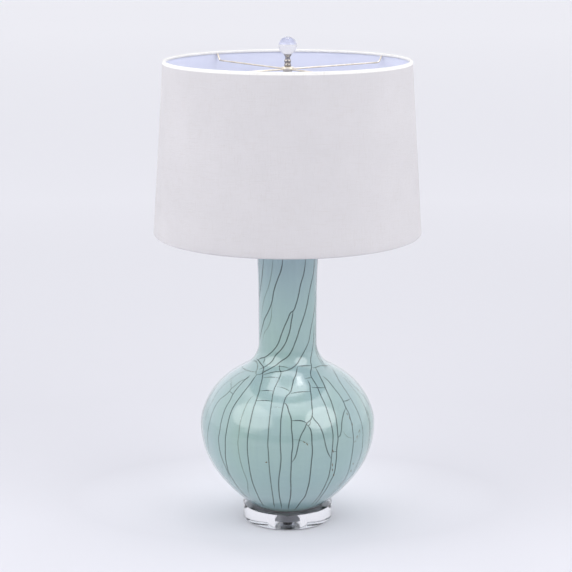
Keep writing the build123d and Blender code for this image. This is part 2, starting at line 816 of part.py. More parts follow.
# Locking sleeves that slide down over the joint of each leg and its post.
for side, sleeve_name in ((-1, "harp_sleeve_front"), (1, "harp_sleeve_back")):
    with BuildPart() as sleeve:
        with BuildSketch(Plane.XY.offset(upright_top_z)):
            with Locations((0, side * saddle_half_span)):
                Circle(sleeve_radius)
        extrude(amount=sleeve_length)
        with BuildSketch(Plane.XY.offset(upright_top_z)):
            with Locations((0, side * saddle_half_span)):
                Circle(sleeve_grip_radius)
        extrude(amount=sleeve_grip_height)
        with BuildSketch(Plane.XY.offset(upright_top_z)):
            with Locations((0, side * saddle_half_span)):
                Circle(harp_wire_radius + slide_gap)
        extrude(amount=sleeve_length, mode=Mode.SUBTRACT)
    sleeve.part.label = sleeve_name
    export_step(sleeve.part, "parts/" + sleeve_name + ".step")


# Swivelling stud in the harp's eye: riveted head, neck, seat for the shade and threaded end.
head_bottom_z = eye_top_z - eye_thickness - stud_head_thickness
stud_top_z = shade_seat_z + stud_length
with BuildPart() as harp_stud:
    with BuildSketch(Plane.XY.offset(head_bottom_z)):
        Circle(stud_head_radius)
    extrude(amount=stud_head_thickness)
    fillet(harp_stud.edges().group_by(Axis.Z)[0], radius=stud_head_thickness / 2)
    with BuildSketch(Plane.XY.offset(head_bottom_z)):
        Circle(stud_radius)
    extrude(amount=stud_top_z - head_bottom_z)
    chamfer(harp_stud.edges().group_by(Axis.Z)[-1], length=stud_chamfer)
    with BuildSketch(Plane.XY.offset(eye_top_z)):
        Circle(stud_seat_radius)
    extrude(amount=stud_seat_thickness)
harp_stud.part.label = "harp_stud"
export_step(harp_stud.part, "parts/harp_stud.step")


# The shade is a cone, and both ring wires lie at the centre of its rolled hems.
def shade_radius(z):
    share = (z - shade_bottom_z) / shade_height
    return shade_bottom_radius + share * (shade_top_radius - shade_bottom_radius)


top_ring_z = shade_top_z - hem_radius
top_ring_radius = shade_radius(top_ring_z) - hem_radius
bottom_ring_z = shade_bottom_z + hem_radius
bottom_ring_radius = shade_radius(bottom_ring_z) - hem_radius


# One spider arm: level from the hub, then bent up to the ring.
arm_z = shade_seat_z + arm_wire_radius
with BuildPart() as spider_arm:
    with BuildLine(Plane.XZ) as arm_path:
        FilletPolyline(
            (hub_bore_radius + arm_wire_radius, arm_z),
            (top_ring_radius - arm_riser_run, arm_z),
            (top_ring_radius, top_ring_z),
            radius=arm_bend_radius,
        )
    with BuildSketch(Plane.YZ.offset(hub_bore_radius + arm_wire_radius)):
        with Locations((0, arm_z)):
            Circle(arm_wire_radius)
    sweep(path=arm_path.line)


# Spider: hub washer, four arms and the top ring, welded together. The ring's wire is drawn with flats.
with BuildPart() as spider_fitter:
    with BuildSketch(Plane.XY.offset(shade_seat_z)):
        Circle(hub_radius)
    extrude(amount=hub_thickness)
    fillet(spider_fitter.edges().group_by(Axis.Z)[-1], radius=hub_rounding)
    with PolarLocations(0, arm_count, start_angle=arm_first_angle):
        add(spider_arm.part)
    with BuildSketch(Plane.XY.offset(shade_seat_z)):
        Circle(hub_bore_radius)
    extrude(amount=hub_thickness, mode=Mode.SUBTRACT)
    with BuildSketch(Plane.XZ):
        with Locations((top_ring_radius, top_ring_z)):
            RegularPolygon(ring_wire_radius, ring_wire_side_count)
    revolve(axis=Axis.Z)
spider_fitter.part.label = "spider_fitter"
export_step(spider_fitter.part, "parts/spider_fitter.step")


# Bottom ring wire.
with BuildPart() as bottom_ring:
    with BuildSketch(Plane.XZ):
        with Locations((bottom_ring_radius, bottom_ring_z)):
            Circle(ring_wire_radius)
    revolve(axis=Axis.Z)
bottom_ring.part.label = "bottom_ring"
export_step(bottom_ring.part, "parts/bottom_ring.step")


# Stiff liner behind the linen, from hem to hem, with a thin line of glue between the two.
liner_bottom_z = bottom_ring_z + hem_radius
liner_top_z = top_ring_z - hem_radius
liner_inset = fabric_thickness + glue_line
with BuildPart() as shade_liner:
    with BuildSketch(Plane.XZ):
        with BuildLine():
            Polyline(
                (shade_radius(liner_bottom_z) - liner_inset, liner_bottom_z),
                (shade_radius(liner_top_z) - liner_inset, liner_top_z),
                (shade_radius(liner_top_z) - liner_inset - liner_thickness, liner_top_z),
                (shade_radius(liner_bottom_z) - liner_inset - liner_thickness, liner_bottom_z),
                close=True,
            )
        make_face()
    revolve(axis=Axis.Z)
shade_liner.part.label = "shade_liner"
export_step(shade_liner.part, "parts/shade_liner.step")


# Square slit that the top hem has for each spider arm, along the arm's riser.
slit_width = 2 * (arm_wire_radius + slip_gap)
with BuildPart() as hem_slit:
    with BuildLine(Plane.XZ):
        riser = Line((top_ring_radius - arm_riser_run, arm_z), (top_ring_radius, top_ring_z))
    with BuildSketch(Plane(origin=riser @ 0, z_dir=riser % 0)):
        Rectangle(slit_width, slit_width)
    extrude(amount=riser.length)


# Linen cover, rolled over both ring wires.
hem_bore_radius = ring_wire_radius + slip_gap
with BuildPart() as shade_fabric:
    with BuildSketch(Plane.XZ):
        with BuildLine():
            Polyline(
                (shade_radius(bottom_ring_z), bottom_ring_z),
                (shade_radius(top_ring_z), top_ring_z),
                (shade_radius(top_ring_z) - fabric_thickness, top_ring_z),
                (shade_radius(bottom_ring_z) - fabric_thickness, bottom_ring_z),
                close=True,
            )
        make_face()
        with Locations((top_ring_radius, top_ring_z), (bottom_ring_radius, bottom_ring_z)):
            Circle(hem_radius)
            Circle(hem_bore_radius, mode=Mode.SUBTRACT)
    revolve(axis=Axis.Z)
    with PolarLocations(0, arm_count, start_angle=arm_first_angle):
        add(hem_slit.part, mode=Mode.SUBTRACT)
shade_fabric.part.label = "shade_fabric"
export_step(shade_fabric.part, "parts/shade_fabric.step")


# Finial stem: two turned beads, a waist and a flared cup that takes the ball.
cup_z = finial_z + finial_stem_height
ball_z = cup_z + (ball_radius**2 - finial_cup_radius**2) ** 0.5
bead_one_z = finial_z + finial_bead_height
bead_two_z = bead_one_z + finial_bead_height
waist_top_z = bead_two_z + finial_waist_height
with BuildPart() as finial_stem:
    with BuildSketch(Plane.XZ):
        with BuildLine():
            bead_one = ThreePointArc(
                (finial_foot_radius, finial_z),
                (finial_bead_radius, (finial_z + bead_one_z) / 2),
                (finial_foot_radius, bead_one_z),
            )
            bead_two = ThreePointArc(
                bead_one @ 1,
                (finial_bead_radius, (bead_one_z + bead_two_z) / 2),
                (finial_foot_radius, bead_two_z),
            )
            Polyline(
                bead_two @ 1,
                (finial_waist_radius, bead_two_z),
                (finial_waist_radius, waist_top_z),
                (finial_cup_radius, cup_z - finial_cup_lip),
                (finial_cup_radius, cup_z),
                (0, cup_z),
                (0, finial_z),
                bead_one @ 0,
            )
        make_face()
    revolve(axis=Axis.Z)
    with BuildSketch(Plane.XY.offset(finial_z)):
        Circle(stud_radius + slide_gap)
    extrude(amount=finial_bore_depth, mode=Mode.SUBTRACT)
    with Locations((0, 0, ball_z)):
        Sphere(ball_radius, mode=Mode.SUBTRACT)
finial_stem.part.label = "finial_stem"
export_step(finial_stem.part, "parts/finial_stem.step")


# Crystal ball.
with BuildPart() as finial_ball:
    with Locations((0, 0, ball_z)):
        Sphere(ball_radius)
finial_ball.part.label = "finial_ball"
export_step(finial_ball.part, "parts/finial_ball.step")
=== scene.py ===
import math
import random

import bpy
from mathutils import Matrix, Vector
from mathutils.bvhtree import BVHTree


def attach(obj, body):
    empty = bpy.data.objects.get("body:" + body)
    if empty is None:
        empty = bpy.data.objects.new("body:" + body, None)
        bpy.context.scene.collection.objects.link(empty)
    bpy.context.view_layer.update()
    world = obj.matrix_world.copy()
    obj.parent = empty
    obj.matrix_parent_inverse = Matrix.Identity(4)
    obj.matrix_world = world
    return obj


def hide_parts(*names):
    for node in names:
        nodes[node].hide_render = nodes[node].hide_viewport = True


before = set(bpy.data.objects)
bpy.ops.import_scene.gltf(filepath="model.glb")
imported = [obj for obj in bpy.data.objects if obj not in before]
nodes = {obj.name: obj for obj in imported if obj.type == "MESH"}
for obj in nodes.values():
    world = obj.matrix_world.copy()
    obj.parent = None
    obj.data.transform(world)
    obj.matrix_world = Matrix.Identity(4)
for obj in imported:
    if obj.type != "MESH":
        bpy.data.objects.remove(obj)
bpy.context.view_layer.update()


# Camera. It stands 2.8 m in front of the lamp and a little above the shade, and looks 13 degrees
# down through a long lens, so the globe and the drum keep their true proportions.
bpy.ops.object.camera_add(location=(-0.0027, -2.7632, 1.0362), rotation=(math.radians(77.153), 0, 0))
camera = bpy.context.object
camera.name = "camera"
camera.data.sensor_width = 36
camera.data.lens = 106.41
camera.data.clip_end = 200
bpy.context.scene.camera = camera
bpy.context.scene.view_settings.view_transform = "Standard"


# Studio sweep: a plain pale floor that runs on so far all round that no edge of it shows. It is a
# cool white with a faint unevenness, like painted board, and paler farther off, where less light falls.
# Close round the lamp, most behind and beside it, it is painted paler still: painted light that thins the
# lamp's shadow.
def tone(red, green, blue):
    """A colour as a painter reads it off a card, 0 to 255, made linear for the shader."""
    parts = []
    for value in (red, green, blue):
        value /= 255
        parts.append(value / 12.92 if value <= 0.04045 else ((value + 0.055) / 1.055) ** 2.4)
    return (*parts, 1)


def new_finish(name, **sockets):
    """A material whose even values sit on the shader's own sockets."""
    finish = bpy.data.materials.new(name)
    finish.use_nodes = True
    shader = finish.node_tree.nodes["Principled BSDF"]
    for socket, value in sockets.items():
        shader.inputs[socket.replace("_", " ")].default_value = value
    return finish


def add_node(finish, kind, links=(), **values):
    """A node with its values set by name, and its inputs linked from other nodes' sockets."""
    node = finish.node_tree.nodes.new(kind)
    for name, value in values.items():
        if hasattr(node, name):
            setattr(node, name, value)
        else:
            node.inputs[name.replace("_", " ")].default_value = value
    for socket, source in dict(links).items():
        finish.node_tree.links.new(source, node.inputs[socket])
    return node


def patches(finish, size, detail=3, stretch=(1, 1, 1), place="Object", seed=0.0):
    """Noise with blotches of about that size in metres, longer where stretch is under 1."""
    where = add_node(finish, "ShaderNodeTexCoord").outputs[place]
    laid = add_node(finish, "ShaderNodeMapping", {"Vector": where}, Scale=stretch, Location=(seed,) * 3)
    return add_node(
        finish, "ShaderNodeTexNoise", {"Vector": laid.outputs[0]}, Scale=1 / size, Detail=detail
    ).outputs[0]


def spread(finish, source, low, high, start=0.3, end=0.7):
    """Spreads a pattern's middle part over the values from low to high."""
    return add_node(
        finish, "ShaderNodeMapRange", {"Value": source},
        From_Min=start, From_Max=end, To_Min=low, To_Max=high,
    ).outputs[0]


def two_tone(finish, share, first, second):
    """Blends two colours, or colour sockets, by a share that is a number or a socket."""
    mix = add_node(finish, "ShaderNodeMix", data_type="RGBA")
    for socket, value in ((0, share), (6, first), (7, second)):
        if isinstance(value, bpy.types.NodeSocket):
            finish.node_tree.links.new(value, mix.inputs[socket])
        else:
            mix.inputs[socket].default_value = value
    return mix.outputs[2]


def dress(finish, **sources):
    """Links patterns to the shader's sockets."""
    shader = finish.node_tree.nodes["Principled BSDF"]
    for socket, source in sources.items():
        finish.node_tree.links.new(source, shader.inputs[socket.replace("_", " ")])


bpy.ops.object.select_all(action="DESELECT")
bpy.ops.mesh.primitive_plane_add(size=90)
sweep = bpy.context.object
sweep.name = "studio_floor"
sweep_paint = new_finish("sweep_paint", Roughness=0.9, Specular_IOR_Level=0.1)
board = patches(sweep_paint, 1.4)
cool_white = two_tone(sweep_paint, board, tone(214, 214, 222), tone(217, 217, 225))


def reach(centre, squeeze):
    """The distance along the floor from a centre, with the two directions squeezed."""
    place = add_node(sweep_paint, "ShaderNodeTexCoord").outputs["Object"]
    laid = add_node(
        sweep_paint, "ShaderNodeMapping", {"Vector": place},
        Scale=(*squeeze, 1), Location=(-centre[0] * squeeze[0], -centre[1] * squeeze[1], 0),
    )
    length = add_node(sweep_paint, "ShaderNodeVectorMath", {0: laid.outputs[0]}, operation="LENGTH")
    return length.outputs["Value"]


# The first ring is painted light round the lamp, which thins its shadow; the other two pale the floor
# farther off.
for centre, squeeze, start, end, paler in (
    ((0, 0.1), (0.775, 1.265), 0.30, 0.09, tone(236, 236, 244)),
    ((0, -1.2), (1, 1), 1.9, 4.4, tone(238, 238, 246)),
    ((0, -1.2), (1, 1), 4.4, 12.2, tone(246, 246, 253)),
):
    share = spread(sweep_paint, reach(centre, squeeze), 0, 1, start, end)
    cool_white = two_tone(sweep_paint, share, cool_white, paler)
dress(sweep_paint, Base_Color=cool_white)
sweep.data.materials.append(sweep_paint)


# Light: a white tent with brighter side walls, and a broad soft box on each side of the camera, whose
# reflections lie on the globe's upper cheeks. A small one hangs nearly overhead, for the rims.
tent = bpy.data.worlds.new("tent")
bpy.context.scene.world = tent
tent.use_nodes = True
tent_nodes, tent_links = tent.node_tree.nodes, tent.node_tree.links
direction = tent_nodes.new("ShaderNodeSeparateXYZ")
tent_links.new(tent_nodes.new("ShaderNodeTexCoord").outputs["Generated"], direction.inputs[0])


def tent_level(axis, start, end, low, high):
    """A brightness that runs from low to high as the direction's share of that axis grows."""
    level = tent_nodes.new("ShaderNodeMapRange")
    level.interpolation_type = "SMOOTHSTEP"
    for socket, value in (("From Min", start), ("From Max", end), ("To Min", low), ("To Max", high)):
        level.inputs[socket].default_value = value
    tent_links.new(axis, level.inputs["Value"])
    return level.outputs[0]


def tent_math(operation, first, second):
    step = tent_nodes.new("ShaderNodeMath")
    step.operation = operation
    tent_links.new(first, step.inputs[0])
    tent_links.new(second, step.inputs[1])
    return step.outputs[0]


sideways = tent_math("MULTIPLY", direction.outputs["X"], direction.outputs["X"])
tent_light = tent_nodes["Background"]
tent_light.inputs["Color"].default_value = (1, 1, 1, 1)
walls = tent_level(sideways, 0, 0.75, 0.74, 1.52)
ceiling = tent_level(direction.outputs["Z"], 0.3, 1, 1, 0.85)
tent_links.new(tent_math("MULTIPLY", walls, ceiling), tent_light.inputs["Strength"])
room_back = tent_level(direction.outputs["Y"], -0.75, 0.1, 0.3, 1.35)
room_face = tent_level(direction.outputs["Z"], -0.05, 0.5, 0.25, 0.9)
room_top = tent_level(direction.outputs["Z"], 0.5, 0.97, 0, 3.3)
room = tent_math("MAXIMUM", tent_math("MAXIMUM", room_back, room_face), room_top)
room_through = tent_level(direction.outputs["Y"], -0.75, 0.1, 0.22, 1)
ray = tent_nodes.new("ShaderNodeLightPath")
for ray_kind, level in (
    ("Is Glossy Ray", room),
    ("Is Transmission Ray", room_through),
    ("Is Camera Ray", None),
):
    shown = tent_nodes.new("ShaderNodeBackground")
    shown.inputs["Color"].default_value = tone(237, 237, 245)
    if level is not None:
        tent_links.new(level, shown.inputs["Strength"])
    choice = tent_nodes.new("ShaderNodeMixShader")
    tent_links.new(ray.outputs[ray_kind], choice.inputs[0])
    tent_links.new(tent_light.outputs[0], choice.inputs[1])
    tent_links.new(shown.outputs[0], choice.inputs[2])
    tent_light = choice
tent_links.new(tent_light.outputs[0], tent_nodes["World Output"].inputs["Surface"])

lit_middle = Vector((0, 0, 0.25))
lamp_distance = 2.2
for name, turn, climb, width, height, watts in (
    ("left_soft_box", -57, 33, 2.4, 1.5, 16),
    ("right_soft_box", 52, 33, 1.7, 1.3, 14),
    ("top_soft_box", 175, 74, 0.9, 0.45, 5),
):
    turn, climb = math.radians(turn), math.radians(climb)
    aim = Vector((math.sin(turn) * math.cos(climb), -math.cos(turn) * math.cos(climb), math.sin(climb)))
    bpy.ops.object.light_add(type="AREA", location=lit_middle + lamp_distance * aim)
    box_light = bpy.context.object
    box_light.name = name
    box_light.rotation_euler = aim.to_track_quat("Z", "Y").to_euler()
    box_light.data.shape = "ELLIPSE"
    box_light.data.size, box_light.data.size_y = width, height
    box_light.data.energy = watts


# Bumper pads: five soft buttons of clear cast vinyl, a little cloudy and dull. Each is stuck under the
# disc by its own adhesive face and keeps the acrylic off the table.
def bumps(finish, height, depth, under=None):
    """A bump of that depth in metres, laid over an earlier one."""
    bump = add_node(finish, "ShaderNodeBump", {"Height": height}, Strength=1.0, Distance=depth)
    if under is not None:
        finish.node_tree.links.new(under, bump.inputs["Normal"])
    return bump.outputs[0]


vinyl = new_finish("clear_vinyl", Base_Color=tone(228, 229, 234), Transmission_Weight=0.35, IOR=1.48)
dress(
    vinyl,
    Roughness=spread(vinyl, patches(vinyl, 0.003), 0.12, 0.34),
    Normal=bumps(vinyl, patches(vinyl, 0.0009, 5), 0.00003),
)


def refinish(node, finish):
    """The CAD node keeps its shape and takes a new finish."""
    nodes[node].data.materials.clear()
    nodes[node].data.materials.append(finish)


refinish("bumper_feet", vinyl)


# Disc: 6 in cast acrylic, an inch thick, turned and flame polished, so its walls bend the light. The
# pocket bored under it for the washer and nut is 44 mm wide here, as its outline in the photograph is.
acrylic = new_finish("cast_acrylic", Base_Color=tone(252, 253, 254), Transmission_Weight=1.0, IOR=1.491)
hairs = patches(acrylic, 0.004, 4, stretch=(1, 14, 1))
dress(
    acrylic,
    Roughness=spread(acrylic, patches(acrylic, 0.012, 4), 0.0, 0.025),
    Normal=bumps(acrylic, hairs, 0.000004),
)
pocket_width, pocket_depth, disc_underside = 0.044, 0.013, 0.002
disc = bpy.data.objects.new("acrylic_disc", nodes["acrylic_base"].data.copy())
bpy.context.collection.objects.link(disc)
bpy.ops.object.select_all(action="DESELECT")
disc.select_set(True)
bpy.context.view_layer.objects.active = disc
bpy.ops.object.mode_set(mode="EDIT")
bpy.ops.mesh.select_all(action="SELECT")
bpy.ops.mesh.remove_doubles(threshold=0.00001)
bpy.ops.mesh.customdata_custom_splitnormals_clear()
bpy.ops.object.mode_set(mode="OBJECT")
bpy.ops.object.select_all(action="DESELECT")
bpy.ops.mesh.primitive_cylinder_add(
    vertices=128, radius=pocket_width / 2, depth=2 * pocket_depth, location=(0, 0, disc_underside)
)
cutter = bpy.context.object
pocket = disc.modifiers.new("pocket", "BOOLEAN")
pocket.operation, pocket.solver, pocket.object = "DIFFERENCE", "EXACT", cutter
bpy.ops.object.select_all(action="DESELECT")
disc.select_set(True)
bpy.context.view_layer.objects.active = disc
bpy.ops.object.modifier_apply(modifier="pocket")
bpy.data.objects.remove(cutter)
bpy.ops.object.shade_smooth_by_angle(angle=math.radians(25))
flats = disc.modifiers.new("flats", "WEIGHTED_NORMAL")
flats.keep_sharp = True
bpy.ops.object.modifier_apply(modifier="flats")
disc.data.materials.clear()
disc.data.materials.append(acrylic)
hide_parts("acrylic_base")
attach(disc, "root")


# Bushing: a sleeve of moulded black nylon, pressed into the back end of the cord's channel so that the
# acrylic's edge can't cut the cord.
def moulded(name, colour, faded, roughness, grain):
    """Moulded plastic: fine grain from the tool, and wear that pales it in patches."""
    plastic = new_finish(name)
    wear = patches(plastic, 0.011, 4, seed=3.0)
    dress(
        plastic,
        Base_Color=two_tone(plastic, spread(plastic, wear, 0, 1), colour, faded),
        Roughness=spread(plastic, wear, roughness - 0.07, roughness + 0.1),
        Normal=bumps(plastic, patches(plastic, grain, 2), grain / 12),
    )
    return plastic


refinish("cord_bushing", moulded("black_nylon", tone(24, 24, 26), tone(40, 40, 42), 0.42, 0.0005))


# Pipe and what tightens it: a plain and a split washer in bright zinc, a blackened hex nut, and the
# steel pipe that runs from the disc's pocket up to the socket.
def metal(name, colour, stained, roughness, brush, turned=True):
    """Metal with tool marks running round the lamp's axis, or along it, and faint stains."""
    plate = new_finish(name, Metallic=1.0)
    stain = patches(plate, 0.014, 4, seed=7.0)
    marks = patches(plate, brush, 3, stretch=(0.25, 0.25, 3) if turned else (3, 3, 0.25))
    dress(
        plate,
        Base_Color=two_tone(plate, spread(plate, stain, 0, 1), colour, stained),
        Roughness=spread(plate, marks, roughness - 0.06, roughness + 0.09),
        Normal=bumps(plate, marks, brush / 40),
    )
    return plate


zinc = metal("bright_zinc", tone(186, 190, 198), tone(150, 154, 158), 0.3, 0.0012)
black_steel = metal("blackened_steel", tone(40, 39, 42), tone(58, 54, 52), 0.38, 0.0012)
refinish("base_washer", zinc)
refinish("base_lock_washer", zinc)
refinish("base_hex_nut", black_steel)
refinish("lamp_pipe", metal("pipe_zinc", tone(176, 178, 182), tone(128, 124, 118), 0.36, 0.0008, False))


# Gasket: a ring cut from dark closed-cell foam. It lies between the glazed foot and the acrylic, and
# the nut on the pipe presses it flat.
foam = new_finish("foam_rubber", Roughness=0.92, Specular_IOR_Level=0.2)
cells = add_node(foam, "ShaderNodeTexVoronoi", Scale=1400.0).outputs["Distance"]
foam_tone = two_tone(foam, spread(foam, patches(foam, 0.006), 0, 1), tone(98, 94, 98), tone(122, 116, 120))
dress(foam, Base_Color=foam_tone, Normal=bumps(foam, cells, 0.0002))
refinish("foot_gasket", foam)


# Vase: porcelain, its globe and neck thrown apart and luted, under a thick pale celadon. The glaze runs
# thin and grey at the lip, pools green at the foot, and carries small iron specks and pinholes. The lower
# belly above the foot is painted lighter and bluer: painted light that thins the shade under the globe.
glaze = new_finish("celadon_glaze", IOR=1.58, Coat_Weight=0.75, Coat_Roughness=0.08, Coat_IOR=1.58)
height_up = add_node(
    glaze, "ShaderNodeSeparateXYZ", {"Vector": add_node(glaze, "ShaderNodeTexCoord").outputs["Object"]}
).outputs["Z"]
drift = patches(glaze, 0.11, 3, stretch=(1, 1, 0.45), seed=1.7)
body_tone = two_tone(glaze, spread(glaze, drift, 0, 1), tone(137, 163, 166), tone(140, 168, 161))
runs = patches(glaze, 0.006, 4, stretch=(1, 1, 0.05), seed=5.1)
body_tone = two_tone(glaze, spread(glaze, runs, 0, 0.16), body_tone, tone(125, 150, 154))
upper = spread(glaze, height_up, 0, 0.6, 0.33, 0.50)
body_tone = two_tone(glaze, upper, body_tone, tone(144, 168, 181))
# Painted light: the lower belly, above the foot, is painted lighter to thin the shade that falls under the
# globe.
lower_belly_painted_light = spread(glaze, height_up, 0.5, 0, 0.05, 0.17)
body_tone = two_tone(glaze, lower_belly_painted_light, body_tone, tone(149, 180, 186))
pool = spread(glaze, height_up, 1, 0, 0.029, 0.040)
body_tone = two_tone(glaze, pool, body_tone, tone(112, 132, 126))
speck_cells = add_node(glaze, "ShaderNodeTexVoronoi", Scale=75.0)
speck_size = spread(glaze, speck_cells.outputs["Color"], -0.1, 0.055, 0.0, 1.0)
speck_edge = add_node(glaze, "ShaderNodeMath", operation="SUBTRACT")
glaze.node_tree.links.new(speck_size, speck_edge.inputs[0])
glaze.node_tree.links.new(speck_cells.outputs["Distance"], speck_edge.inputs[1])
speck = spread(glaze, speck_edge.outputs[0], 0, 0.75, 0.0, 0.02)
body_tone = two_tone(glaze, speck, body_tone, tone(92, 100, 90))
ripple = bumps(glaze, patches(glaze, 0.045, 2, stretch=(0.5, 0.5, 2.2), seed=9.0), 0.0011)
orange_peel = bumps(glaze, patches(glaze, 0.004, 2, seed=2.0), 0.00002, under=ripple)
dress(
    glaze,
    Base_Color=body_tone,
    Roughness=spread(glaze, patches(glaze, 0.02, 4, seed=4.0), 0.14, 0.22),
    Normal=orange_peel,
)
refinish("ceramic_vase", glaze)
refinish("ceramic_neck", glaze)


